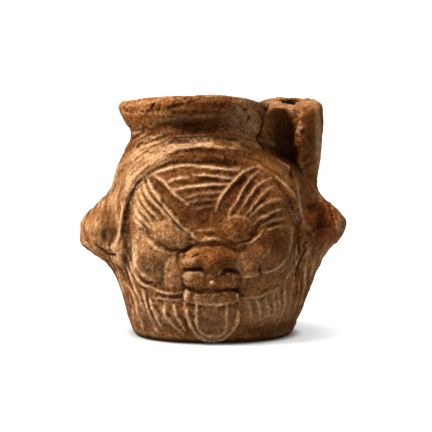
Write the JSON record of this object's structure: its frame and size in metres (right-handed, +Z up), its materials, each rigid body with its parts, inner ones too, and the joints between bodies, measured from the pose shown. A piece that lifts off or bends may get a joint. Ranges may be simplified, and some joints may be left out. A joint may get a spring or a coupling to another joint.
{
  "type": "figural terracotta vessel",
  "caption": "Small moulded clay jug shaped as a grimacing bearded mask with its tongue out, with a flaring off-centre neck, lateral ears and a stubby side spout with a narrow bore.",
  "frame": {"origin": "middle of the flat underside of the foot", "axes": "+Z up to the mouth, the face looks along -Y, +X to the viewer's right, where the spout is"},
  "size_m": [0.0939, 0.0721, 0.085],
  "materials": {
    "terracotta": "unglazed fired clay, matt and grainy, orange-brown with a thin pale slip left on the raised lines and darker brown in the hollows"
  },
  "bodies": {
    "root": {"vessel": "terracotta"}
  },
  "joints": []
}
